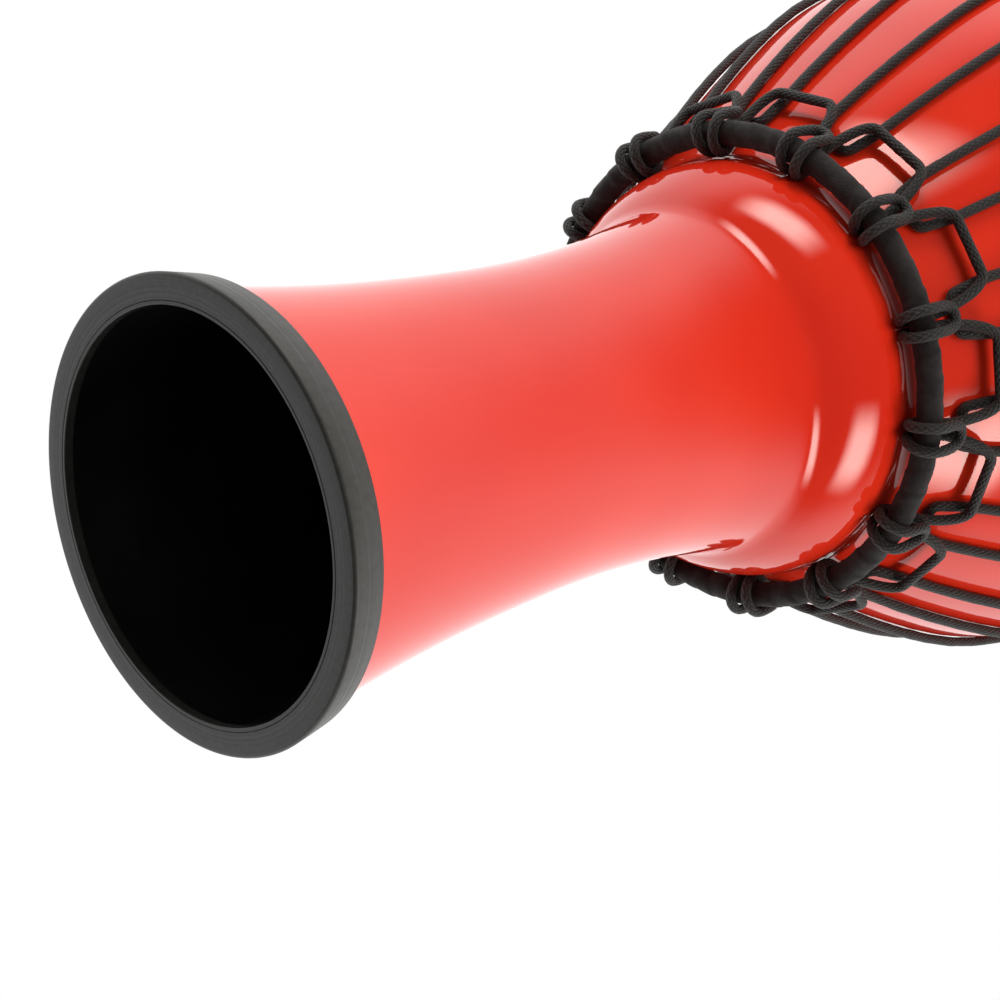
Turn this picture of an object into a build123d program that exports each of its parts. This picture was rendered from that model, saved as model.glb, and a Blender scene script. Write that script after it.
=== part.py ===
from build123d import *
import os
from math import cos, degrees, pi, radians, sin, tan, tau

# Rope-tuned goblet drum. Millimetres, +Z up, standing on its rubber foot, origin in the
# middle of the foot's lower face. The playing skin is on top.

# Overall sizes
HEIGHT = 634.0            # foot face to the shell's bearing edge
FOOT_D = 190.0            # rubber foot, outside, at its lower face
FOOT_H = 16.5             # rubber foot, height of its outer wall
FOOT_LEAN = 9.5           # flare of the foot, in degrees
FOOT_LEDGE = 4.0          # rubber under the edge of the shell
FOOT_EDGE_R = 1.2         # rounding of the rubber foot's outer edges
SHELL_FOOT_D = 174.4      # shell at the foot, outside
WALL = 4.8                # shell wall
WAIST_D = 143.6           # narrowest part of the stem
RIM_D = 361.0             # shell at the bearing edge, outside
BELLY_D = 368.0           # widest part of the bowl
SHELL_EDGE_R = 2.0        # rounding of the bearing edge

# Ropes, hoops and skin
ROPE_D = 5.0
HOOP_D = 8.0              # round steel bar of all three hoops
WRAP_T = 2.2              # cloth wound round the two outer hoops
SKIN_T = 1.2
HITCHES = 14              # hitches on each outer hoop
LOWER_HOOP_R = 112.0      # lower hoop, centre line
LOWER_HOOP_Z = 325.6
FLESH_HOOP_DROP = 56.0    # flesh hoop below the bearing edge
SKIN_SKIRT = 6.0          # how far the playing skin reaches down before the collar starts

# Clearances
ROPE_GAP = 0.15           # between a rope and what it lies on
SHELL_GAP = 0.4           # between the skin or a rope and the shell
FIT_GAP = 0.05            # hoop in its wrap, shell in its foot
CROSS_GAP = 0.9           # between two ropes where one crosses the other
SEAM_GAP = 0.2            # between the playing skin's edge and the collar
CROWN_GAP = 1.0           # between the crown hoop's hitches and the folded skin

# Hitches: half the distance between the two legs, and how far the strands run from the hoop
LEG_HALF = 5.8
STRAND_BEND = 0.7         # where a strand turns off the hoop, as a share of the loop's radius
ROOT_RUN = 15.0           # from the hoop's centre line to where a hitch's two strands part
ARCH_RUN = 13.5           # from the hoop's centre line to the top of the hitch's arch
LOWER_NODE_RUN = 37.0     # from the hoop's centre line to where the lacing crosses the cradle
CROWN_NODE_RUN = 43.6
LACING_RUN = 23.5         # from the lower hoop's centre line to the lacing's turn
LACING_TURN_HALF = 9.0    # half the width of the lacing's turn
LACING_STEPS = 9          # straight runs of a lacing strand along the bowl
CROWN_TURN_LAYER = 8.5    # lacing's turn at the crown, off the shell, to clear the folded skin
KNOT_D = 10.0             # coil of a knot
KNOT_L = 14.0
KNOT_EDGE_R = 1.2
BEND_SHARE = 0.45         # how much of a straight run each of its two bends may use
FOLD_TURN = 260.0         # how far the skin is folded round the flesh hoop, in degrees

PITCH = tau / HITCHES
STRAND_HALF = ROPE_D / 2 + ROPE_GAP          # hitch's two strands lie side by side
STRAND_ANGLE = radians(5.8)                  # lacing strand from the nearest lower hitch
UPPER_STRAND_ANGLE = PITCH / 2 - STRAND_ANGLE
TUBE_R = HOOP_D / 2 + WRAP_T                 # wrapped hoop
LOOP_R = TUBE_R + ROPE_GAP + ROPE_D / 2      # rope round a wrapped hoop
SURFACE_LAYER = SHELL_GAP + ROPE_D / 2       # rope lying on the shell
OVER_LAYER = SURFACE_LAYER + ROPE_D + CROSS_GAP   # rope crossing over another
FOLD_IN = HOOP_D / 2 + FIT_GAP               # skin folded round the flesh hoop
FOLD_OUT = FOLD_IN + SKIN_T
LOOP_OUT = LOOP_R + ROPE_D / 2
SEAT_R = LOWER_HOOP_R - LOOP_OUT - SHELL_GAP  # shell inside the lower hoop's hitches

# Outside of the shell above the foot: height, radius, lean outwards in degrees
STEM = [
    (FOOT_H, SHELL_FOOT_D / 2, -FOOT_LEAN),
    (80.0, 78.1, -6.4),
    (146.0, 72.9, -3.0),
    (200.0, WAIST_D / 2, 1.5),
    (255.0, 76.0, 8.2),
]
# Rounded shoulder under the lower hoop, given from the hoop's height and the seat's radius
SHOULDER = [
    (LOWER_HOOP_Z - 44.1, SEAT_R - 19.65, 12.0),
    (LOWER_HOOP_Z - 40.1, SEAT_R - 17.45, 40.0),
    (LOWER_HOOP_Z - 35.6, SEAT_R - 13.65, 40.0),
    (LOWER_HOOP_Z - 25.6, SEAT_R - 7.05, 29.0),
    (LOWER_HOOP_Z - 13.6, SEAT_R - 1.45, 20.0),
    (LOWER_HOOP_Z - 6.1, SEAT_R - 0.1, 3.0),
    (LOWER_HOOP_Z, SEAT_R, 0.0),
]
BOWL = [
    (346.0, 110.2, 30.5),
    (372.0, 126.6, 29.5),
    (408.0, 145.8, 26.0),
    (475.0, 173.0, 15.5),
    (552.0, BELLY_D / 2, 1.0),
    (HEIGHT, RIM_D / 2, -3.0),
]
OUTLINE = STEM + SHOULDER + BOWL


def at(angle, radius, z):
    """A point given by its angle round the drum, its radius and its height."""
    return Vector(radius * cos(angle), radius * sin(angle), z)


def outline_curve(inset):
    """The shell's side from foot to rim in the XZ plane, moved inwards along its own normal."""
    points = []
    tangents = []
    for z, r, lean in OUTLINE:
        angle = radians(lean)
        points.append((r - inset * cos(angle), 0, z + inset * sin(angle)))
        tangents.append((sin(angle), 0, cos(angle)))
    return Spline(points, tangents=tangents)


SIDE = outline_curve(0)


def beside_shell(z, gap):
    """Radius and height of the point that stands off the shell by gap, level with z."""
    low, high = 0.0, 1.0
    for _ in range(40):
        middle = (low + high) / 2
        if (SIDE @ middle).Z < z:
            low = middle
        else:
            high = middle
    point = SIDE @ low
    along = SIDE % low
    return point.X + gap * along.Z, point.Z - gap * along.X


# Crown: the skin is folded round the flesh hoop and the crown hoop's hitches sit above the fold
COLLAR_LOW = HEIGHT - FLESH_HOOP_DROP
FLESH_HOOP_R, FLESH_HOOP_Z = beside_shell(COLLAR_LOW, SHELL_GAP + SKIN_T + FIT_GAP + HOOP_D / 2)
CROWN_HOOP_Z = FLESH_HOOP_Z + FOLD_OUT + CROWN_GAP + LOOP_OUT
CROWN_HOOP_R = beside_shell(CROWN_HOOP_Z, 2 * SHELL_GAP + SKIN_T + LOOP_OUT)[0]


def revolved(*lines):
    """The solid of revolution of a closed outline in the XZ plane."""
    return revolve(make_face(list(lines)), Axis.Z)


def polygon(*points):
    """A closed outline of straight sides from (radius, height) pairs."""
    return Polyline([(r, 0, z) for r, z in points], close=True)


def ring(radius, z, bar_r):
    """A plain round hoop."""
    return Pos(0, 0, z) * Torus(radius, bar_r)


def round_drum(points):
    """Points given as (distance along the hoop, radius, height) set out round the drum."""
    return [at(s / r, r, z) for s, r, z in points]


def bend_radii(points):
    """The largest arc that each corner's two runs leave room for."""
    radii = []
    for before, corner, after in zip(points, points[1:], points[2:]):
        run_in = corner - before
        run_out = after - corner
        half_turn = radians(run_in.get_angle(run_out)) / 2
        radii.append(BEND_SHARE * min(run_in.length, run_out.length) / tan(half_turn))
    return radii


def rope(points):
    """A round rope along straight runs joined by arcs."""
    radii = bend_radii(points)
    path = FilletPolyline(points, radius=radii)
    section = Plane(path @ 0, z_dir=path % 0) * Circle(ROPE_D / 2)
    solid = sweep(section, path=path)
    ratio = solid.volume / (pi * (ROPE_D / 2) ** 2 * path.length)
    print(f"rope {path.length:.1f} mm, volume ratio {ratio:.4f}, smallest arc {min(radii):.1f} mm")
    return solid


def repeated(solid, phase=0.0):
    """One copy of a solid for each hitch, turned by phase."""
    turns = [degrees(phase + i * PITCH) for i in range(HITCHES)]
    return Compound(children=[Rot(0, 0, turn) * solid for turn in turns])


def circles_over(solid, radius):
    """The solid's round edges that are wider than a radius."""
    return [edge for edge in solid.edges().filter_by(GeomType.CIRCLE) if edge.radius > radius]


def shell():
    """One moulded piece: straight edge in the foot, stem, shoulder and bowl."""
    inner = outline_curve(WALL)
    foot_out = SHELL_FOOT_D / 2
    foot_in = foot_out - WALL
    foot = Polyline(inner @ 0, (foot_in, 0, FOOT_LEDGE), (foot_out, 0, FOOT_LEDGE), SIDE @ 0)
    rim = Line(SIDE @ 1, inner @ 1)
    body = revolved(SIDE, rim, inner, foot)
    edges = body.edges().filter_by(GeomType.CIRCLE).group_by(Axis.Z)[-1]
    return fillet(edges, SHELL_EDGE_R)


def foot_ring():
    """Rubber channel that the shell's lower edge sits in; its wall leans with the shell."""
    bore = SHELL_FOOT_D / 2 - WALL
    seat = SHELL_FOOT_D / 2 + FIT_GAP
    floor = FOOT_LEDGE - FIT_GAP
    outside = FOOT_D / 2
    top = outside - FOOT_H * tan(radians(FOOT_LEAN))
    section = polygon(
        (bore, 0), (outside, 0), (top, FOOT_H), (seat, FOOT_H), (seat, floor), (bore, floor)
    )
    body = revolved(section)
    return fillet(circles_over(body, (seat + top) / 2), FOOT_EDGE_R)


def wrap(radius, z):
    """Cloth sleeve round a hoop."""
    return ring(radius, z, TUBE_R) - ring(radius, z, HOOP_D / 2 + FIT_GAP)


def cradle_points(hoop_r, hoop_z, side, node_run, strand_angle):
    """A cradle rope from the middle of one chord, round the hoop as a hitch, to the next.

    side is 1 where the hitch's strands leave the hoop upwards and -1 where they leave it
    downwards. The chord passes over the lacing at strand_angle from the hitch."""
    node_r, node_z = beside_shell(hoop_z + side * node_run, OVER_LAYER)
    chord_r = node_r * cos(PITCH / 2 - strand_angle)
    corner_angle = strand_angle - ROPE_D / 2 / node_r
    corner_r = chord_r / cos(PITCH / 2 - corner_angle)
    front = hoop_r + LOOP_R
    back = hoop_r - LOOP_R
    half = [
        (LEG_HALF, front, hoop_z + side * (ARCH_RUN - ROPE_D)),
        (LEG_HALF, front, hoop_z - side * LOOP_R),
        (LEG_HALF - ROPE_D / 2, back, hoop_z - side * LOOP_R),
        (STRAND_HALF, back, hoop_z + side * LOOP_R * STRAND_BEND),
        (STRAND_HALF, front - ROPE_D - ROPE_GAP, hoop_z + side * ROOT_RUN),
        (corner_angle * corner_r, corner_r, node_z),
        (PITCH / 2 * chord_r, chord_r, node_z),
    ]
    other_half = [(-s, r, z) for s, r, z in reversed(half)]
    arch = [(0, front, hoop_z + side * ARCH_RUN)]
    return round_drum(other_half + arch + half)


def lower_cradle_rope():
    """Hitches on the lower hoop, joined by chords."""
    points = cradle_points(LOWER_HOOP_R, LOWER_HOOP_Z, 1, LOWER_NODE_RUN, STRAND_ANGLE)
    return repeated(rope(points))


def crown_cradle_rope():
    """Hitches on the crown hoop, half a pitch on from the lower ones."""
    points = cradle_points(CROWN_HOOP_R, CROWN_HOOP_Z, -1, CROWN_NODE_RUN, UPPER_STRAND_ANGLE)
    return repeated(rope(points), PITCH / 2)


def lacing_rope():
    """Strands up and down the bowl, turning under each hitch's two strands.

    One length runs from a turn at the lower hoop, up, round a turn at the crown and back."""
    turn_r, turn_z = beside_shell(LOWER_HOOP_Z + LACING_RUN, SURFACE_LAYER)
    top_r, top_z = beside_shell(FLESH_HOOP_Z - FOLD_OUT - ROPE_D / 2 - SHELL_GAP, CROWN_TURN_LAYER)
    first = LOWER_HOOP_Z + LOWER_NODE_RUN
    last = CROWN_HOOP_Z - CROWN_NODE_RUN
    half = [at(0, turn_r, turn_z), at(LACING_TURN_HALF / turn_r, turn_r, turn_z)]
    for i in range(LACING_STEPS + 1):
        r, z = beside_shell(first + (last - first) * i / LACING_STEPS, SURFACE_LAYER)
        half.append(at(STRAND_ANGLE, r, z))
    half.append(at(PITCH / 2 - LACING_TURN_HALF / top_r, top_r, top_z))
    mirror_plane = Plane(origin=(0, 0, 0), z_dir=(-sin(PITCH / 2), cos(PITCH / 2), 0))
    back = [Vertex(*p).mirror(mirror_plane).center() for p in reversed(half)]
    return repeated(rope(half + back))


def knot(hoop_z, side, node_run, strand_angle, turn):
    """A knot's coil round a cradle rope, in the middle of a chord."""
    node_r, node_z = beside_shell(hoop_z + side * node_run, OVER_LAYER)
    chord_r = node_r * cos(PITCH / 2 - strand_angle)
    coil = Cylinder(KNOT_D / 2, KNOT_L) - Cylinder(ROPE_D / 2 + FIT_GAP, KNOT_L)
    coil = fillet(circles_over(coil, (KNOT_D + ROPE_D) / 4), KNOT_EDGE_R)
    return Rot(0, 0, degrees(turn)) * Pos(chord_r, 0, node_z) * Rot(90, 0, 0) * coil


def drumhead():
    """The playing skin: a disc that turns down over the bearing edge."""
    skirt_z = HEIGHT - SKIN_SKIRT
    in_r = beside_shell(skirt_z, SHELL_GAP)[0]
    out_r = in_r + SKIN_T
    under = HEIGHT + FIT_GAP
    section = polygon(
        (0, under), (0, under + SKIN_T), (out_r, under + SKIN_T), (out_r, skirt_z),
        (in_r, skirt_z), (in_r, under),
    )
    body = revolved(section)
    corner = body.edges().filter_by(GeomType.CIRCLE).group_by(Axis.Z)[-1]
    return fillet(corner, SHELL_EDGE_R)


def skin_collar():
    """The skin from the playing skin's edge down to its fold round the flesh hoop."""
    top = HEIGHT - SKIN_SKIRT - SEAM_GAP
    inner_top = beside_shell(top, SHELL_GAP)
    outer_top = beside_shell(top, SHELL_GAP + SKIN_T)
    inner_low = beside_shell(COLLAR_LOW, SHELL_GAP)
    centre = Vector(FLESH_HOOP_R, 0, FLESH_HOOP_Z)
    to_shell = (Vector(inner_low[0], 0, inner_low[1]) - centre).normalized()

    def fold_point(radius, turn):
        return centre + to_shell.rotate(Axis.Y, -turn) * radius

    outer_arc = ThreePointArc(*[fold_point(FOLD_OUT, FOLD_TURN * share) for share in (0, 0.5, 1)])
    inner_arc = ThreePointArc(*[fold_point(FOLD_IN, FOLD_TURN * share) for share in (1, 0.5, 0)])
    return revolved(
        Line((inner_top[0], 0, inner_top[1]), outer_arc @ 0),
        outer_arc,
        Line(outer_arc @ 1, inner_arc @ 0),
        inner_arc,
        Polyline(inner_arc @ 1, (outer_top[0], 0, outer_top[1]), (inner_top[0], 0, inner_top[1])),
    )


NODES = {
    "shell": shell,
    "foot_ring": foot_ring,
    "lower_hoop": lambda: ring(LOWER_HOOP_R, LOWER_HOOP_Z, HOOP_D / 2),
    "lower_hoop_wrap": lambda: wrap(LOWER_HOOP_R, LOWER_HOOP_Z),
    "lower_cradle_rope": lower_cradle_rope,
    "lower_cradle_knot": lambda: knot(LOWER_HOOP_Z, 1, LOWER_NODE_RUN, STRAND_ANGLE, PITCH / 2),
    "lacing_rope": lacing_rope,
    "lacing_knot": lambda: knot(LOWER_HOOP_Z, 1, LOWER_NODE_RUN, STRAND_ANGLE, -PITCH / 2),
    "crown_hoop": lambda: ring(CROWN_HOOP_R, CROWN_HOOP_Z, HOOP_D / 2),
    "crown_hoop_wrap": lambda: wrap(CROWN_HOOP_R, CROWN_HOOP_Z),
    "crown_cradle_rope": crown_cradle_rope,
    "crown_cradle_knot": lambda: knot(CROWN_HOOP_Z, -1, CROWN_NODE_RUN, UPPER_STRAND_ANGLE, 0),
    "flesh_hoop": lambda: ring(FLESH_HOOP_R, FLESH_HOOP_Z, HOOP_D / 2),
    "skin_collar": skin_collar,
    "drumhead": drumhead,
}

os.makedirs("parts", exist_ok=True)
for name, build in NODES.items():
    piece = build()
    export_step(piece, f"parts/{name}.step")
    print(name, f"{piece.volume:.0f} mm3")
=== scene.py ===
from math import atan2, ceil, cos, hypot, pi, radians, sin, tan, tau

import bmesh
import bpy
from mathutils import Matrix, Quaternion, Vector, noise


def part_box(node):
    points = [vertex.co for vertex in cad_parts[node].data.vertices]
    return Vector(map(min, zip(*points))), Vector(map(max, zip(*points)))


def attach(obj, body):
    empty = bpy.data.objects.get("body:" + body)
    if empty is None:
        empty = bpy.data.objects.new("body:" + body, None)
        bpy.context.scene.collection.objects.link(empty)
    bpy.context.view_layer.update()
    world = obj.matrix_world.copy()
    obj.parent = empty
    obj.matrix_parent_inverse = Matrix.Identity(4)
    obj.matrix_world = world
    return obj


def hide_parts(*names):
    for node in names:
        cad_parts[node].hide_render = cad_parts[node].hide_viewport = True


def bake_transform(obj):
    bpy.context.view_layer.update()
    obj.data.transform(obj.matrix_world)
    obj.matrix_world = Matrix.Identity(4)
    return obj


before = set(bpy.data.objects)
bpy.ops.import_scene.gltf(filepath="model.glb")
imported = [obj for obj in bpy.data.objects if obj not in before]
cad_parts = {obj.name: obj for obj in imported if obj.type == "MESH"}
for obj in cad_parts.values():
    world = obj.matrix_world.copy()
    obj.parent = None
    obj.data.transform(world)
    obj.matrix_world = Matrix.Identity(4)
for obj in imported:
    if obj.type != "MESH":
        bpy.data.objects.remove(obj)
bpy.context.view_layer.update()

MM = 0.001

# Sizes that the frame gives
HOOP_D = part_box("lower_hoop")[1].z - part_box("lower_hoop")[0].z
WRAP_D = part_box("lower_hoop_wrap")[1].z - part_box("lower_hoop_wrap")[0].z
FOOT_LOW, FOOT_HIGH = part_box("foot_ring")
SHELL_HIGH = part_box("shell")[1]
HEAD_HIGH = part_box("drumhead")[1]
ROPE_D = 5.0 * MM
SKIN_T = 1.2 * MM
WALL = 4.8 * MM
FOOT_LEDGE = 4.0 * MM
FOOT_LEAN = 9.5
KNOT_L = 14.0 * MM
HITCHES = 14
PITCH = tau / HITCHES

# Layers of rope over the shell
SHELL_GAP = 0.4 * MM
CROSS_GAP = 0.9 * MM
SURFACE_LAYER = SHELL_GAP + ROPE_D / 2
OVER_LAYER = SURFACE_LAYER + ROPE_D + CROSS_GAP
LOOP_R = WRAP_D / 2 + ROPE_D / 2
LOWER_NODE_RUN = 37 * MM
CROWN_NODE_RUN = 43.6 * MM
LACING_RUN = 23.5 * MM
LACING_TURN_HALF = 9.0 * MM
LACING_STEPS = 9
CROWN_TURN_LAYER = 8.5 * MM
STRAND_ANGLE = radians(5.8)
UPPER_STRAND_ANGLE = PITCH / 2 - STRAND_ANGLE

# Side of the shell above the foot: height, radius, lean outwards
OUTLINE = [
    (16.5, 87.2, -9.5),
    (80.0, 78.1, -6.4),
    (146.0, 72.9, -3.0),
    (200.0, 71.8, 1.5),
    (255.0, 76.0, 8.2),
    (281.5, 80.6, 12.0),
    (285.5, 82.8, 40.0),
    (290.0, 86.6, 40.0),
    (300.0, 93.2, 29.0),
    (312.0, 98.8, 20.0),
    (319.5, 100.15, 3.0),
    (325.6, 100.25, 0.0),
    (346.0, 110.2, 30.5),
    (372.0, 126.6, 29.5),
    (408.0, 145.8, 26.0),
    (475.0, 173.0, 15.5),
    (552.0, 184.0, 1.0),
    (634.0, 180.5, -3.0),
]


def at(angle, radius, z):
    return Vector((radius * cos(angle), radius * sin(angle), z))


def side_of_shell(z):
    """Radius and slope of the shell's outside at a height, in metres."""
    z_mm = min(max(z / MM, OUTLINE[0][0]), OUTLINE[-1][0])
    for (z0, r0, lean0), (z1, r1, lean1) in zip(OUTLINE, OUTLINE[1:]):
        if z_mm <= z1:
            break
    h = z1 - z0
    t = (z_mm - z0) / h
    m0 = h * tan_of(lean0)
    m1 = h * tan_of(lean1)
    radius = (
        r0 * (2 * t**3 - 3 * t**2 + 1) + m0 * (t**3 - 2 * t**2 + t)
        + r1 * (3 * t**2 - 2 * t**3) + m1 * (t**3 - t**2)
    )
    slope = (
        r0 * (6 * t**2 - 6 * t) + m0 * (3 * t**2 - 4 * t + 1)
        + r1 * (6 * t - 6 * t**2) + m1 * (3 * t**2 - 2 * t)
    ) / h
    return radius * MM, slope


def tan_of(lean):
    return sin(radians(lean)) / cos(radians(lean))


def beside_shell(z, gap):
    """Radius and height of the point that stands off the shell by gap, level with z."""
    radius, slope = side_of_shell(z)
    along = hypot(1, slope)
    return radius + gap / along, z - gap * slope / along


# ---------------------------------------------------------------- materials

def material(name, colour, roughness, **sockets):
    """A Principled material whose even values are set on its own sockets."""
    mat = bpy.data.materials.new(name)
    mat.use_nodes = True
    shader = mat.node_tree.nodes["Principled BSDF"]
    shader.inputs["Base Color"].default_value = (*colour, 1)
    shader.inputs["Roughness"].default_value = roughness
    for socket, value in sockets.items():
        shader.inputs[socket.replace("_", " ")].default_value = value
    return mat


def add(mat, kind, **values):
    """A node, with its properties and its inputs set by name."""
    node = mat.node_tree.nodes.new(kind)
    for name, value in values.items():
        if name in node.bl_rna.properties:
            setattr(node, name, value)
        else:
            node.inputs[name.replace("_", " ")].default_value = value
    return node


def join(mat, *chain):
    """Links an output to an input, given as (node, socket) pairs two by two."""
    for source, target in zip(chain[::2], chain[1::2]):
        mat.node_tree.links.new(source[0].outputs[source[1]], target[0].inputs[target[1]])


def shader_of(mat):
    return mat.node_tree.nodes["Principled BSDF"]


def noise_node(mat, scale, detail=3.0, stretch=None, uv=False):
    """Noise on the object's own coordinates, or on its UV map."""
    place = add(mat, "ShaderNodeTexCoord")
    mapping = add(mat, "ShaderNodeMapping")
    if stretch:
        mapping.inputs["Scale"].default_value = stretch
    texture = add(mat, "ShaderNodeTexNoise", Scale=scale, Detail=detail)
    join(mat, (place, "UV" if uv else "Object"), (mapping, "Vector"))
    join(mat, (mapping, "Vector"), (texture, "Vector"))
    return texture


def vary(mat, socket, source, low, high, output="Fac", spread=(0.35, 0.65)):
    """Drives a shader's number between low and high by a texture."""
    scale = add(mat, "ShaderNodeMapRange", From_Min=spread[0], From_Max=spread[1], To_Min=low, To_Max=high)
    join(mat, (source, output), (scale, "Value"))
    join(mat, (scale, "Result"), (shader_of(mat), socket))
    return scale


def tint(mat, source, dark, light, output="Fac", spread=(0.35, 0.65)):
    """Drives the base colour between two colours by a texture."""
    ramp = add(mat, "ShaderNodeValToRGB")
    ramp.color_ramp.elements[0].position = spread[0]
    ramp.color_ramp.elements[0].color = (*dark, 1)
    ramp.color_ramp.elements[1].position = spread[1]
    ramp.color_ramp.elements[1].color = (*light, 1)
    join(mat, (source, output), (ramp, "Fac"))
    join(mat, (ramp, "Color"), (shader_of(mat), "Base Color"))
    return ramp


def bump(mat, source, height, output="Fac", below=None, strength=1.0):
    """Bump of a height in metres, on top of an earlier bump."""
    node = add(mat, "ShaderNodeBump", Strength=strength, Distance=height)
    join(mat, (source, output), (node, "Height"))
    if below:
        join(mat, (below, "Normal"), (node, "Normal"))
    join(mat, (node, "Normal"), (shader_of(mat), "Normal"))
    return node


def math_node(mat, operation, first, second=None):
    """A Math node on (node, socket) pairs or numbers."""
    node = add(mat, "ShaderNodeMath", operation=operation)
    for slot, value in enumerate((first, second)):
        if isinstance(value, tuple):
            mat.node_tree.links.new(value[0].outputs[value[1]], node.inputs[slot])
        elif value is not None:
            node.inputs[slot].default_value = value
    return node


def red_gel_coat():
    mat = material("red_gel_coat", (0.80, 0.03, 0.011), 0.5, Coat_Weight=1.0, Coat_Roughness=0.04)
    shader_of(mat).inputs["Specular IOR Level"].default_value = 0.0
    clouds = noise_node(mat, 9.0, 2.0)
    tint(mat, clouds, (0.76, 0.025, 0.009), (0.84, 0.036, 0.013))
    vary(mat, "Coat Roughness", noise_node(mat, 30.0), 0.03, 0.06)
    peel = noise_node(mat, 180.0, 1.0)
    soft = bump(mat, peel, 0.00005, strength=0.15)
    join(mat, (soft, "Normal"), (shader_of(mat), "Coat Normal"))
    return mat


def black_inside():
    mat = material("black_inside", (0.008, 0.008, 0.008), 0.3, Coat_Weight=0.4, Coat_Roughness=0.25)
    vary(mat, "Roughness", noise_node(mat, 30.0), 0.26, 0.42)
    tint(mat, noise_node(mat, 12.0), (0.005, 0.005, 0.005), (0.012, 0.012, 0.012))
    lay_up = noise_node(mat, 60.0, 4.0, stretch=(1, 1, 0.35))
    bump(mat, lay_up, 0.0004, strength=0.35)
    return mat


def foot_rubber():
    """Moulded rubber with fine turned lines round its face and wall."""
    mat = material("foot_rubber", (0.036, 0.037, 0.034), 0.5)
    tint(mat, noise_node(mat, 300.0, 3.0), (0.031, 0.032, 0.029), (0.042, 0.043, 0.040))
    place = add(mat, "ShaderNodeTexCoord")
    parts = add(mat, "ShaderNodeSeparateXYZ")
    join(mat, (place, "Object"), (parts, "Vector"))
    x_squared = math_node(mat, "MULTIPLY", (parts, "X"), (parts, "X"))
    y_squared = math_node(mat, "MULTIPLY", (parts, "Y"), (parts, "Y"))
    total = math_node(mat, "ADD", (x_squared, "Value"), (y_squared, "Value"))
    radius = math_node(mat, "SQRT", (total, "Value"))
    both = math_node(mat, "ADD", (radius, "Value"), (parts, "Z"))
    spot = add(mat, "ShaderNodeCombineXYZ")
    join(mat, (both, "Value"), (spot, "X"))
    lines = add(mat, "ShaderNodeTexNoise", Scale=900.0, Detail=2.0)
    join(mat, (spot, "Vector"), (lines, "Vector"))
    vary(mat, "Roughness", lines, 0.40, 0.56)
    turned = bump(mat, lines, 0.00025, strength=0.3)
    bump(mat, noise_node(mat, 1200.0), 0.00008, below=turned, strength=0.3)
    return mat


def braided_rope():
    """Braided cord: the UV map runs along the rope in metres and round it from 0 to 1."""
    mat = material("braided_rope", (0.022, 0.022, 0.021), 0.62, Sheen_Weight=0.08, Sheen_Roughness=0.5)
    place = add(mat, "ShaderNodeTexCoord")
    parts = add(mat, "ShaderNodeSeparateXYZ")
    join(mat, (place, "UV"), (parts, "Vector"))
    along = math_node(mat, "MULTIPLY", (parts, "X"), tau / 0.0072)
    around = math_node(mat, "MULTIPLY", (parts, "Y"), tau * 4)
    together = math_node(mat, "ADD", (along, "Value"), (around, "Value"))
    apart = math_node(mat, "SUBTRACT", (along, "Value"), (around, "Value"))
    left = math_node(mat, "SINE", (together, "Value"))
    right = math_node(mat, "SINE", (apart, "Value"))
    plait = math_node(mat, "MULTIPLY", (left, "Value"), (right, "Value"))
    height = math_node(mat, "ABSOLUTE", (plait, "Value"))
    # Painted shade: the grooves between the strands are coloured darker than the crowns, following the
    # braid's height.
    tint(mat, height, (0.005, 0.005, 0.005), (0.020, 0.020, 0.019), output="Value", spread=(0.0, 0.6))
    braid = bump(mat, height, 0.0005, output="Value", strength=0.9)
    fibres = noise_node(mat, 2200.0, 2.0)
    bump(mat, fibres, 0.0002, below=braid, strength=0.4)
    return mat


def wound_cloth():
    """Cloth strip: the UV map is in metres, along the hoop and round its bar."""
    mat = material("wound_cloth", (0.024, 0.022, 0.022), 0.85, Sheen_Weight=0.10, Sheen_Roughness=0.4)
    place = add(mat, "ShaderNodeTexCoord")
    parts = add(mat, "ShaderNodeSeparateXYZ")
    join(mat, (place, "UV"), (parts, "Vector"))
    thread = tau / 0.0009
    warp = math_node(mat, "SINE", (math_node(mat, "MULTIPLY", (parts, "X"), thread), "Value"))
    weft = math_node(mat, "SINE", (math_node(mat, "MULTIPLY", (parts, "Y"), thread), "Value"))
    weave = math_node(mat, "MULTIPLY", (warp, "Value"), (weft, "Value"))
    tint(mat, noise_node(mat, 70.0, 4.0), (0.009, 0.008, 0.008), (0.021, 0.019, 0.019))
    vary(mat, "Roughness", noise_node(mat, 200.0), 0.75, 0.95)
    woven = bump(mat, weave, 0.0002, output="Value", strength=0.5)
    bump(mat, noise_node(mat, 420.0, 4.0), 0.0005, below=woven, strength=0.5)
    return mat


def hoop_steel():
    mat = material("hoop_steel", (0.55, 0.55, 0.56), 0.35, Metallic=1.0)
    vary(mat, "Roughness", noise_node(mat, 300.0), 0.28, 0.5)
    bump(mat, noise_node(mat, 900.0), 0.0001, strength=0.4)
    return mat


def goat_skin():
    mat = material("goat_skin", (0.74, 0.63, 0.46), 0.5, Subsurface_Weight=0.08)
    shader_of(mat).inputs["Subsurface Radius"].default_value = (0.004, 0.002, 0.001)
    blotches = noise_node(mat, 7.0, 6.0, stretch=(1.0, 0.45, 1.0))
    ramp = tint(mat, blotches, (0.50, 0.36, 0.22), (0.80, 0.70, 0.54), spread=(0.30, 0.62))
    middle = ramp.color_ramp.elements.new(0.45)
    middle.color = (0.70, 0.57, 0.40, 1)
    vary(mat, "Roughness", noise_node(mat, 60.0), 0.42, 0.6)
    pores = noise_node(mat, 1400.0, 2.0)
    grain = bump(mat, pores, 0.0003, strength=0.35)
    veins = noise_node(mat, 22.0, 5.0, stretch=(1.0, 0.5, 1.0))
    bump(mat, veins, 0.0009, below=grain, strength=0.3)
    return mat


# ---------------------------------------------------------------- mesh helpers

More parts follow.
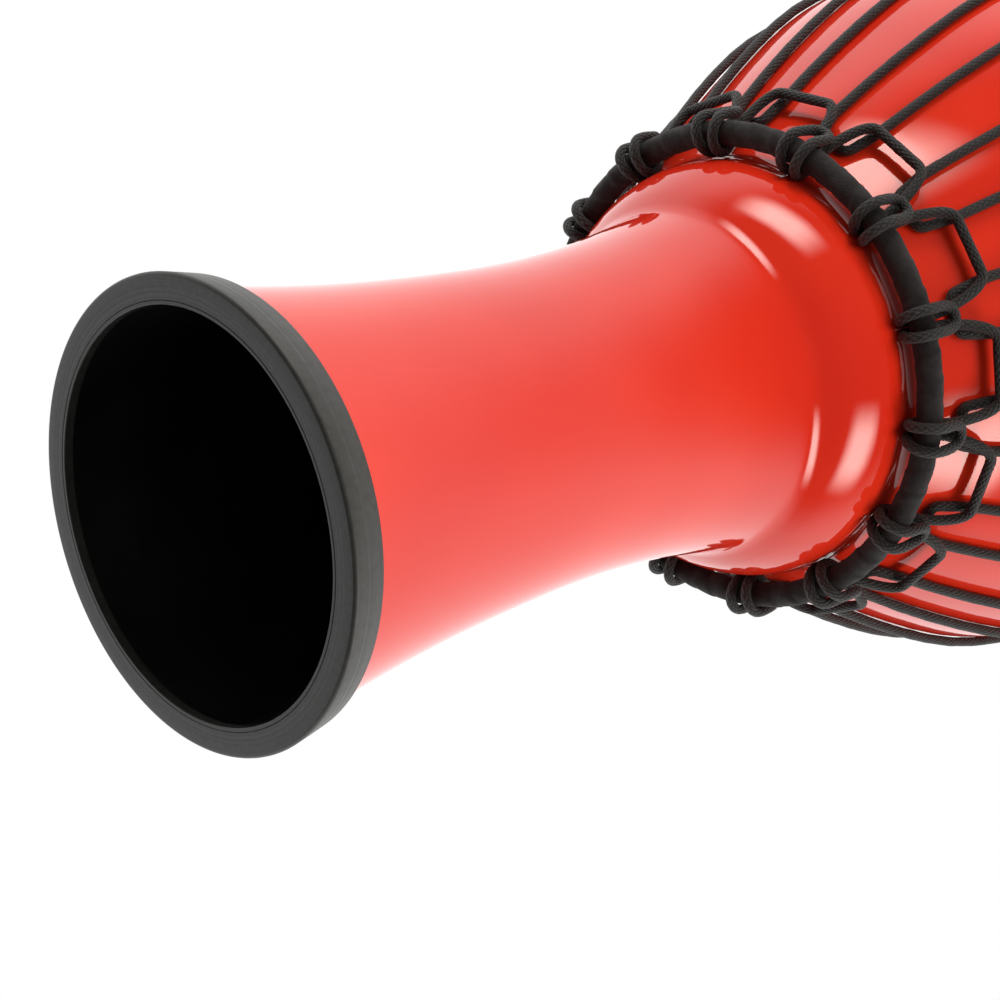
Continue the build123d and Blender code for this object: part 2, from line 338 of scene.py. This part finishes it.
def piece(name, bm, mats, body=None, smooth=True):
    """A finished mesh object from a bmesh."""
    mesh = bpy.data.meshes.new(name)
    bm.to_mesh(mesh)
    bm.free()
    obj = bpy.data.objects.new(name, mesh)
    bpy.context.scene.collection.objects.link(obj)
    for mat in mats:
        mesh.materials.append(mat)
    mesh.polygons.foreach_set("use_smooth", [smooth] * len(mesh.polygons))
    if body:
        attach(obj, body)
    return obj


def spun(profile, steps, closed=True):
    """A turned shape from (radius, height) points."""
    bm = bmesh.new()
    verts = [bm.verts.new((r, 0, z)) for r, z in profile]
    ends = verts[1:] + verts[:1] if closed else verts[1:]
    edges = [bm.edges.new(pair) for pair in zip(verts, ends)]
    bmesh.ops.spin(
        bm, geom=verts + edges, cent=(0, 0, 0), axis=(0, 0, 1), angle=tau, steps=steps, use_merge=True
    )
    bmesh.ops.remove_doubles(bm, verts=bm.verts, dist=1e-6)
    bmesh.ops.recalc_face_normals(bm, faces=bm.faces)
    return bm


def arc(centre_r, centre_z, radius, start, turn, count):
    """Points of an arc in a profile, by angles in degrees."""
    angles = [radians(start + turn * i / count) for i in range(count + 1)]
    return [(centre_r + radius * cos(a), centre_z + radius * sin(a)) for a in angles]


# ---------------------------------------------------------------- shell and foot

def shell_piece(red, black):
    top = SHELL_HIGH.z
    foot_z = FOOT_LOW.z + FOOT_LEDGE
    straight = OUTLINE[0][0] * MM
    heights = [straight + (top - 2.0 * MM - straight) * i / 150 for i in range(151)]
    edge_r = 2.0 * MM
    outside = [(OUTLINE[0][1] * MM, foot_z)] + [beside_shell(z, 0) for z in heights]
    inside = [beside_shell(z, -WALL) for z in reversed(heights[::2])]
    inside.append((OUTLINE[0][1] * MM - WALL, foot_z))
    rim_out = outside[-1][0]
    rim_in = inside[0][0]
    rim = arc(rim_out - edge_r, top - edge_r, edge_r, 0, 90, 5)
    rim += arc(rim_in + edge_r, top - edge_r, edge_r, 90, 90, 5)
    bm = spun(outside[:-1] + rim + inside[1:], 240)
    for face in bm.faces:
        centre = face.calc_center_median()
        middle_r = beside_shell(centre.z, -WALL / 2)[0]
        face.material_index = int(hypot(centre.x, centre.y) < middle_r)
    obj = piece("shell_body", bm, [red, black], "root")
    sharpen(obj, 50)
    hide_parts("shell")
    return obj


def sharpen(obj, degrees_over):
    """Marks edges over an angle as sharp, so that corners stay crisp when shaded smooth."""
    bm = bmesh.new()
    bm.from_mesh(obj.data)
    for edge in bm.edges:
        if len(edge.link_faces) == 2 and edge.calc_face_angle(0) > radians(degrees_over):
            edge.smooth = False
    bm.to_mesh(obj.data)
    bm.free()


def foot_piece(rubber):
    """Rubber channel under the shell, with a moulded step near its inner edge."""
    outside = FOOT_HIGH.x
    seat = OUTLINE[0][1] * MM
    bore = seat - WALL
    low, high = FOOT_LOW.z, FOOT_HIGH.z
    top = outside - (high - low) * tan(radians(FOOT_LEAN))
    ledge = low + FOOT_LEDGE
    bead = 1.6 * MM
    groove_r = bore + 1.7 * MM
    profile = [(bore + 0.3 * MM, low)]
    profile += [(groove_r - 0.25 * MM, low), (groove_r, low + 0.3 * MM), (groove_r + 0.25 * MM, low)]
    profile += [(seat + 1.5 * MM, low)]
    profile += arc(outside - bead, low + bead, bead, -90, 90, 6)
    profile += [((outside + top) / 2 + 0.1 * MM, (low + high) / 2)]
    profile += arc(top - 1.0 * MM, high - 1.0 * MM, 1.0 * MM, 10, 80, 5)
    profile += [(seat + 1.0 * MM, high + 0.0 * MM), (seat + 0.05 * MM, high - 0.4 * MM)]
    profile += [(seat + 0.05 * MM, ledge), (bore, ledge), (bore, low + 0.3 * MM)]
    obj = piece("rubber_foot", spun(profile, 256), [rubber], "root")
    sharpen(obj, 40)
    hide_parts("foot_ring")
    return obj


# ---------------------------------------------------------------- hoops

def unwrap_ring(bm, hoop_r, hoop_z):
    """UV map in metres: along the hoop and round its bar, with no face crossing a seam."""
    layer = bm.loops.layers.uv.new("UVMap")
    for face in bm.faces:
        centre = face.calc_center_median()
        face_turn = atan2(centre.y, centre.x)
        face_roll = atan2(centre.z - hoop_z, hypot(centre.x, centre.y) - hoop_r)
        for loop in face.loops:
            co = loop.vert.co
            turn = atan2(co.y, co.x)
            roll = atan2(co.z - hoop_z, hypot(co.x, co.y) - hoop_r)
            turn += tau * round((face_turn - turn) / tau)
            roll += tau * round((face_roll - roll) / tau)
            loop[layer].uv = (turn * hoop_r, roll * WRAP_D / 2)


def wrap_piece(name, node, cloth, body, strip_pitch=13 * MM):
    """A cloth strip wound round a hoop: each turn laps over the last."""
    low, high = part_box(node)
    hoop_z = (low.z + high.z) / 2
    bar_r = (high.z - low.z) / 2
    hoop_r = high.x - bar_r
    turns = round(tau * hoop_r / strip_pitch)
    lap = 0.55 * MM
    profile = arc(hoop_r, hoop_z, bar_r, 0, 360, 26)[:-1]
    bm = spun(profile, int(tau * hoop_r / (1.15 * MM)))
    unwrap_ring(bm, hoop_r, hoop_z)
    for vert in bm.verts:
        turn = atan2(vert.co.y, vert.co.x)
        middle = at(turn, hoop_r, hoop_z)
        out = (vert.co - middle).normalized()
        roll = atan2(vert.co.z - hoop_z, hypot(vert.co.x, vert.co.y) - hoop_r)
        wobble = 0.16 * noise.noise(vert.co * 55)
        phase = (turns * turn / tau + roll / tau + wobble) % 1.0
        ease = min(phase / 0.12, 1.0)
        fold = 0.22 * MM * noise.noise(vert.co * 210)
        vert.co = middle + out * (bar_r - lap + lap * (1.25 - phase) * ease + fold)
    obj = piece(name, bm, [cloth], body)
    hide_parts(node)
    return obj


# ---------------------------------------------------------------- ropes

def even_points(points, step, cyclic=True):
    """Evenly spaced points along the smooth line of a route's control points."""
    curve = bpy.data.curves.new("route", "CURVE")
    curve.dimensions = "3D"
    spline = curve.splines.new("NURBS")
    spline.points.add(len(points) - 1)
    for target, point in zip(spline.points, points):
        target.co = (*point, 1)
    spline.order_u = 3
    spline.use_cyclic_u = cyclic
    spline.use_endpoint_u = not cyclic
    spline.resolution_u = 12
    holder = bpy.data.objects.new("route", curve)
    mesh = bpy.data.meshes.new_from_object(holder)
    line = [v.co.copy() for v in mesh.vertices]
    bpy.data.objects.remove(holder)
    bpy.data.meshes.remove(mesh)
    if cyclic:
        line.append(line[0])
    lengths = [0.0]
    for a, b in zip(line, line[1:]):
        lengths.append(lengths[-1] + (b - a).length)
    count = ceil(lengths[-1] / step)
    result = []
    i = 0
    for k in range(count if cyclic else count + 1):
        target = lengths[-1] * k / count
        while i < len(line) - 2 and lengths[i + 1] < target:
            i += 1
        span = lengths[i + 1] - lengths[i]
        result.append(line[i].lerp(line[i + 1], (target - lengths[i]) / span if span else 0))
    return result, lengths[-1]


def rope_piece(name, routes, mat, diameter=ROPE_D, step=1.3 * MM, sides=14, cyclic=True):
    """Round rope along one or more routes, slightly uneven, with a UV map along it in metres."""
    curve = bpy.data.curves.new(name, "CURVE")
    curve.dimensions = "3D"
    curve.bevel_depth = diameter / 2
    curve.bevel_resolution = sides // 2 - 2
    curve.use_fill_caps = not cyclic
    total = 0.0
    for points in routes:
        line, total = even_points(points, step, cyclic)
        spline = curve.splines.new("POLY")
        spline.points.add(len(line) - 1)
        spline.use_cyclic_u = cyclic
        for target, point in zip(spline.points, line):
            target.co = (*point, 1)
            target.radius = 1 + 0.05 * noise.noise(point * 160)
    holder = bpy.data.objects.new(name + "_line", curve)
    mesh = bpy.data.meshes.new_from_object(holder)
    bpy.data.objects.remove(holder)
    mesh.name = name
    obj = bpy.data.objects.new(name, mesh)
    bpy.context.scene.collection.objects.link(obj)
    mesh.materials.clear()
    mesh.materials.append(mat)
    mesh.polygons.foreach_set("use_smooth", [True] * len(mesh.polygons))
    for loop_uv in mesh.uv_layers[0].data:
        loop_uv.uv = (loop_uv.uv[0] * total, loop_uv.uv[1])
    return obj


def hoop_centre(node):
    """Radius and height of a hoop's centre line."""
    low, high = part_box(node)
    return high.x - (high.z - low.z) / 2, (low.z + high.z) / 2


def cradle_cell(hoop_r, hoop_z, side, node_run, strand_angle):
    """Half a hitch as (distance along the hoop, radius, height), from its arch to the next chord."""
    node_r, node_z = beside_shell(hoop_z + side * node_run, OVER_LAYER)
    chord_r = node_r * cos(PITCH / 2 - strand_angle)
    corner_angle = strand_angle - ROPE_D / 2 / node_r
    corner_r = chord_r / cos(PITCH / 2 - corner_angle)
    front = hoop_r + LOOP_R
    leg = 5.6 * MM
    strand = ROPE_D / 2 + 0.15 * MM
    cell = [(leg, front, hoop_z + side * 8.5 * MM)]
    for i in range(8):
        turn = radians(-30.0 * i)
        share = min(max((i - 2) / 4, 0), 1)
        s = leg + (strand - leg) * share
        cell.append((s, hoop_r + 1.05 * LOOP_R * cos(turn), hoop_z + side * 1.05 * LOOP_R * sin(turn)))
    cell.append((strand, front - ROPE_D, hoop_z + side * 15.0 * MM))
    cell.append((corner_angle * corner_r, corner_r, node_z))
    return cell


def cradle_route(hoop, side, node_run, strand_angle, phase):
    """The whole cradle rope, hitch after hitch round the drum."""
    hoop_r, hoop_z = hoop
    half = cradle_cell(hoop_r, hoop_z, side, node_run, strand_angle)
    arch_r = hoop_r + LOOP_R + 0.3 * MM
    arch = [(-3.4 * MM, arch_r, hoop_z + side * 13.4 * MM), (3.4 * MM, arch_r, hoop_z + side * 13.4 * MM)]
    cell = [(-s, r, z) for s, r, z in reversed(half)] + arch + half
    route = []
    for i in range(HITCHES):
        for s, r, z in cell:
            route.append(at(phase + i * PITCH + s / r, r, z))
    return crisp(route, 11 * MM)


def crisp(points, reach):
    """Keeps the long runs of a closed route straight, so that it bends only near its corners."""
    result = []
    for before, point, after in zip(points[-1:] + points[:-1], points, points[1:] + points[:1]):
        if (before - point).length > 2.2 * reach:
            result.append(point + (before - point).normalized() * reach)
        result.append(point)
        if (after - point).length > 2.2 * reach:
            result.append(point + (after - point).normalized() * reach)
    return result


def lacing_route(lower, crown):
    """Strands up and down the bowl between the turns at the two hoops."""
    turn_r, turn_z = beside_shell(lower[1] + LACING_RUN, SURFACE_LAYER)
    flesh_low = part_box("skin_collar")[0].z
    top_r, top_z = beside_shell(flesh_low - ROPE_D / 2 - SHELL_GAP, CROWN_TURN_LAYER)
    first, last = lower[1] + LOWER_NODE_RUN, crown[1] - CROWN_NODE_RUN
    half = [(0.0, turn_r, turn_z), (LACING_TURN_HALF / turn_r, turn_r, turn_z)]
    for i in range(LACING_STEPS + 1):
        r, z = beside_shell(first + (last - first) * i / LACING_STEPS, SURFACE_LAYER)
        half.append((STRAND_ANGLE, r, z))
    half.append((PITCH / 2 - LACING_TURN_HALF / top_r, top_r, top_z))
    back = [(PITCH - angle, r, z) for angle, r, z in reversed(half[1:])]
    route = []
    for i in range(HITCHES):
        for angle, r, z in half + back:
            route.append(at(i * PITCH + angle, r, z))
    return crisp(route, 7 * MM)


def knot_piece(name, node, rope_mat, body):
    """A coil of three turns round the cradle rope, in place of its plain sleeve."""
    low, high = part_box(node)
    centre = (low + high) / 2
    turn = atan2(centre.y, centre.x)
    coil_r = ROPE_D * 0.95
    along = Vector((-sin(turn), cos(turn), 0))
    out = Vector((cos(turn), sin(turn), 0))
    turns, per_turn = 3, 12
    points = []
    for i in range(turns * per_turn + 1):
        angle = tau * i / per_turn
        share = i / (turns * per_turn) - 0.5
        spot = centre + along * share * (KNOT_L - ROPE_D)
        points.append(spot + (out * cos(angle) + Vector((0, 0, 1)) * sin(angle)) * coil_r)
    obj = rope_piece(name, [points], rope_mat, diameter=ROPE_D * 0.9, step=0.8 * MM, cyclic=False)
    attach(obj, body)
    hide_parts(node)
    return obj


# ---------------------------------------------------------------- skin

def skin_piece(hide):
    """The playing skin over the bearing edge, down the collar and folded round its hoop."""
    flesh_r, flesh_z = hoop_centre("flesh_hoop")
    top = HEAD_HIGH.z
    skirt_r = HEAD_HIGH.x
    corner = 3.0 * MM
    fold_in = HOOP_D / 2 + 0.05 * MM
    fold_out = fold_in + SKIN_T
    rings = [skirt_r * i / 24 for i in range(1, 24)]
    outer = [(r, top) for r in rings]
    outer += arc(skirt_r - corner, top - corner, corner, 90, -90, 6)
    collar_z = [top - 6 * MM - (top - 6 * MM - flesh_z - 3 * MM) * i / 10 for i in range(11)]
    outer += [beside_shell(z, SHELL_GAP + SKIN_T) for z in collar_z]
    inner = [beside_shell(z, SHELL_GAP) for z in collar_z]
    fold_outer = arc(flesh_r, flesh_z, fold_out, 180, 250, 22)
    fold_inner = arc(flesh_r, flesh_z, fold_in, 180, 250, 22)
    under = [(r, top - SKIN_T) for r in rings]
    under += arc(skirt_r - corner, top - corner, corner - SKIN_T, 90, -90, 6)
    profile = outer[:-1] + [fold_inner[0]] + fold_inner[1:] + list(reversed(fold_outer))
    profile += list(reversed(inner[:-1])) + list(reversed(under))
    bm = bmesh.new()
    pole_top = bm.verts.new((0, 0, top))
    pole_low = bm.verts.new((0, 0, top - SKIN_T))
    verts = [pole_top] + [bm.verts.new((r, 0, z)) for r, z in profile] + [pole_low]
    edges = [bm.edges.new(pair) for pair in zip(verts, verts[1:])]
    bmesh.ops.spin(
        bm, geom=verts + edges, cent=(0, 0, 0), axis=(0, 0, 1), angle=tau, steps=336, use_merge=True
    )
    bmesh.ops.remove_doubles(bm, verts=bm.verts, dist=2e-6)
    bmesh.ops.recalc_face_normals(bm, faces=bm.faces)
    obj = piece("goat_skin_head", bm, [hide], None)
    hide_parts("drumhead", "skin_collar")
    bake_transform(obj)
    return obj


# ---------------------------------------------------------------- stage

def camera():
    place = Vector((-617.5, 320.4, -478.7)) * MM
    azimuth, elevation, roll = radians(-29.687), radians(42.373), radians(72.938)
    look = Vector((cos(elevation) * cos(azimuth), cos(elevation) * sin(azimuth), sin(elevation)))
    data = bpy.data.cameras.new("camera")
    data.lens = 79.2
    data.sensor_width = 36.0
    data.clip_end = 50
    obj = bpy.data.objects.new("camera", data)
    bpy.context.scene.collection.objects.link(obj)
    obj.rotation_mode = "QUATERNION"
    obj.rotation_quaternion = look.to_track_quat("-Z", "Y") @ Quaternion((0, 0, 1), roll)
    obj.location = place
    bpy.context.scene.camera = obj


def softbox(name, azimuth, height_of_middle, distance, width, height, radiance):
    """An area light that faces the drum's axis and fades towards its edges."""
    target = Vector((0, 0, height_of_middle))
    direction = at(radians(azimuth), 1, 0)
    data = bpy.data.lights.new(name, "AREA")
    data.shape = "RECTANGLE"
    data.size = width
    data.size_y = height
    data.energy = radiance * pi * width * height
    data.color = (1.0, 0.93, 0.86)
    data.use_nodes = True
    nodes, links = data.node_tree.nodes, data.node_tree.links
    where = nodes.new("ShaderNodeNewGeometry")
    parts = nodes.new("ShaderNodeSeparateXYZ")
    links.new(where.outputs["Parametric"], parts.inputs["Vector"])
    fades = []
    for axis in ("X", "Y"):
        from_middle = nodes.new("ShaderNodeMath")
        from_middle.operation = "SUBTRACT"
        from_middle.inputs[1].default_value = 0.5
        links.new(parts.outputs[axis], from_middle.inputs[0])
        size = nodes.new("ShaderNodeMath")
        size.operation = "ABSOLUTE"
        links.new(from_middle.outputs[0], size.inputs[0])
        fade = nodes.new("ShaderNodeMapRange")
        fade.interpolation_type = "SMOOTHSTEP"
        fade.inputs["From Min"].default_value = 0.1
        fade.inputs["From Max"].default_value = 0.5
        fade.inputs["To Min"].default_value = 1.0
        fade.inputs["To Max"].default_value = 0.0
        links.new(size.outputs[0], fade.inputs["Value"])
        fades.append(fade)
    both = nodes.new("ShaderNodeMath")
    both.operation = "MULTIPLY"
    links.new(fades[0].outputs["Result"], both.inputs[0])
    links.new(fades[1].outputs["Result"], both.inputs[1])
    links.new(both.outputs[0], nodes["Emission"].inputs["Strength"])
    obj = bpy.data.objects.new(name, data)
    bpy.context.scene.collection.objects.link(obj)
    obj.rotation_mode = "QUATERNION"
    obj.rotation_quaternion = (-direction).to_track_quat("-Z", "Y")
    obj.location = target + direction * distance
    obj.visible_camera = False
    return obj


def surroundings():
    """White backdrop behind the drum, a dim room behind the camera."""
    world = bpy.data.worlds.new("studio")
    bpy.context.scene.world = world
    world.use_nodes = True
    nodes, links = world.node_tree.nodes, world.node_tree.links
    nodes.clear()
    seen = nodes.new("ShaderNodeBackground")
    seen.inputs["Color"].default_value = (1, 1, 1, 1)
    seen.inputs["Strength"].default_value = 1.0
    light = nodes.new("ShaderNodeBackground")
    light.inputs["Color"].default_value = (1, 1, 1, 1)
    place = nodes.new("ShaderNodeTexCoord")
    towards = nodes.new("ShaderNodeVectorMath")
    towards.operation = "DOT_PRODUCT"
    towards.inputs[1].default_value = (0.642, -0.366, 0.674)
    backdrop = nodes.new("ShaderNodeMapRange")
    backdrop.interpolation_type = "SMOOTHSTEP"
    backdrop.inputs["From Min"].default_value = -0.22
    backdrop.inputs["From Max"].default_value = 0.30
    backdrop.inputs["To Min"].default_value = 0.12
    backdrop.inputs["To Max"].default_value = 1.35
    links.new(place.outputs["Generated"], towards.inputs[0])
    links.new(towards.outputs["Value"], backdrop.inputs["Value"])
    links.new(backdrop.outputs["Result"], light.inputs["Strength"])
    rays = nodes.new("ShaderNodeLightPath")
    mix = nodes.new("ShaderNodeMixShader")
    out = nodes.new("ShaderNodeOutputWorld")
    links.new(rays.outputs["Is Camera Ray"], mix.inputs["Fac"])
    links.new(light.outputs[0], mix.inputs[1])
    links.new(seen.outputs[0], mix.inputs[2])
    links.new(mix.outputs[0], out.inputs["Surface"])
    bpy.context.scene.view_settings.view_transform = "Standard"


def floor():
    """Pale floor under the foot, seen from above only."""
    mat = bpy.data.materials.new("pale_floor")
    mat.use_nodes = True
    nodes, links = mat.node_tree.nodes, mat.node_tree.links
    shader = nodes["Principled BSDF"]
    shader.inputs["Base Color"].default_value = (0.86, 0.86, 0.85, 1)
    shader.inputs["Roughness"].default_value = 0.8
    side = nodes.new("ShaderNodeNewGeometry")
    clear = nodes.new("ShaderNodeBsdfTransparent")
    mix = nodes.new("ShaderNodeMixShader")
    links.new(side.outputs["Backfacing"], mix.inputs["Fac"])
    links.new(shader.outputs[0], mix.inputs[1])
    links.new(clear.outputs[0], mix.inputs[2])
    links.new(mix.outputs[0], nodes["Material Output"].inputs["Surface"])
    bm = bmesh.new()
    bmesh.ops.create_grid(bm, x_segments=8, y_segments=8, size=6.0)
    bmesh.ops.translate(bm, verts=bm.verts, vec=(0, 0, -0.2 * MM))
    obj = piece("floor", bm, [mat], smooth=False)
    obj.visible_shadow = False
    obj.visible_diffuse = False
    obj.visible_glossy = False


def build():
    camera()
    surroundings()
    floor()
    softbox("softbox_high", 90, 0.31, 1.3, 1.2, 0.5, 11)
    softbox("softbox_low", 206, 0.31, 1.3, 1.2, 0.5, 11)
    fill = softbox("fill", 150, 0.2, 1.6, 1.6, 1.6, 3.8)
    fill.visible_glossy = False
    rope_mat = braided_rope()
    cloth = wound_cloth()
    steel = hoop_steel()
    shell_piece(red_gel_coat(), black_inside())
    foot_piece(foot_rubber())
    for node in ("lower_hoop", "crown_hoop", "flesh_hoop"):
        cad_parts[node].data.materials.clear()
        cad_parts[node].data.materials.append(steel)
    wrap_piece("lower_wrap", "lower_hoop_wrap", cloth, "root")
    wrap_piece("crown_wrap", "crown_hoop_wrap", cloth, "crown")
    lower, crown = hoop_centre("lower_hoop"), hoop_centre("crown_hoop")
    lower_cradle = rope_piece(
        "lower_cradle", [cradle_route(lower, 1, LOWER_NODE_RUN, STRAND_ANGLE, 0)], rope_mat
    )
    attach(lower_cradle, "root")
    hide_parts("lower_cradle_rope")
    crown_cradle = rope_piece(
        "crown_cradle",
        [cradle_route(crown, -1, CROWN_NODE_RUN, UPPER_STRAND_ANGLE, PITCH / 2)],
        rope_mat,
    )
    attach(crown_cradle, "crown")
    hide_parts("crown_cradle_rope")
    lacing = rope_piece("lacing", [lacing_route(lower, crown)], rope_mat)
    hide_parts("lacing_rope")
    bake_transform(lacing)
    knot_piece("lower_cradle_coil", "lower_cradle_knot", rope_mat, "root")
    knot_piece("lacing_coil", "lacing_knot", rope_mat, "root")
    knot_piece("crown_cradle_coil", "crown_cradle_knot", rope_mat, "crown")
    skin_piece(goat_skin())


build()
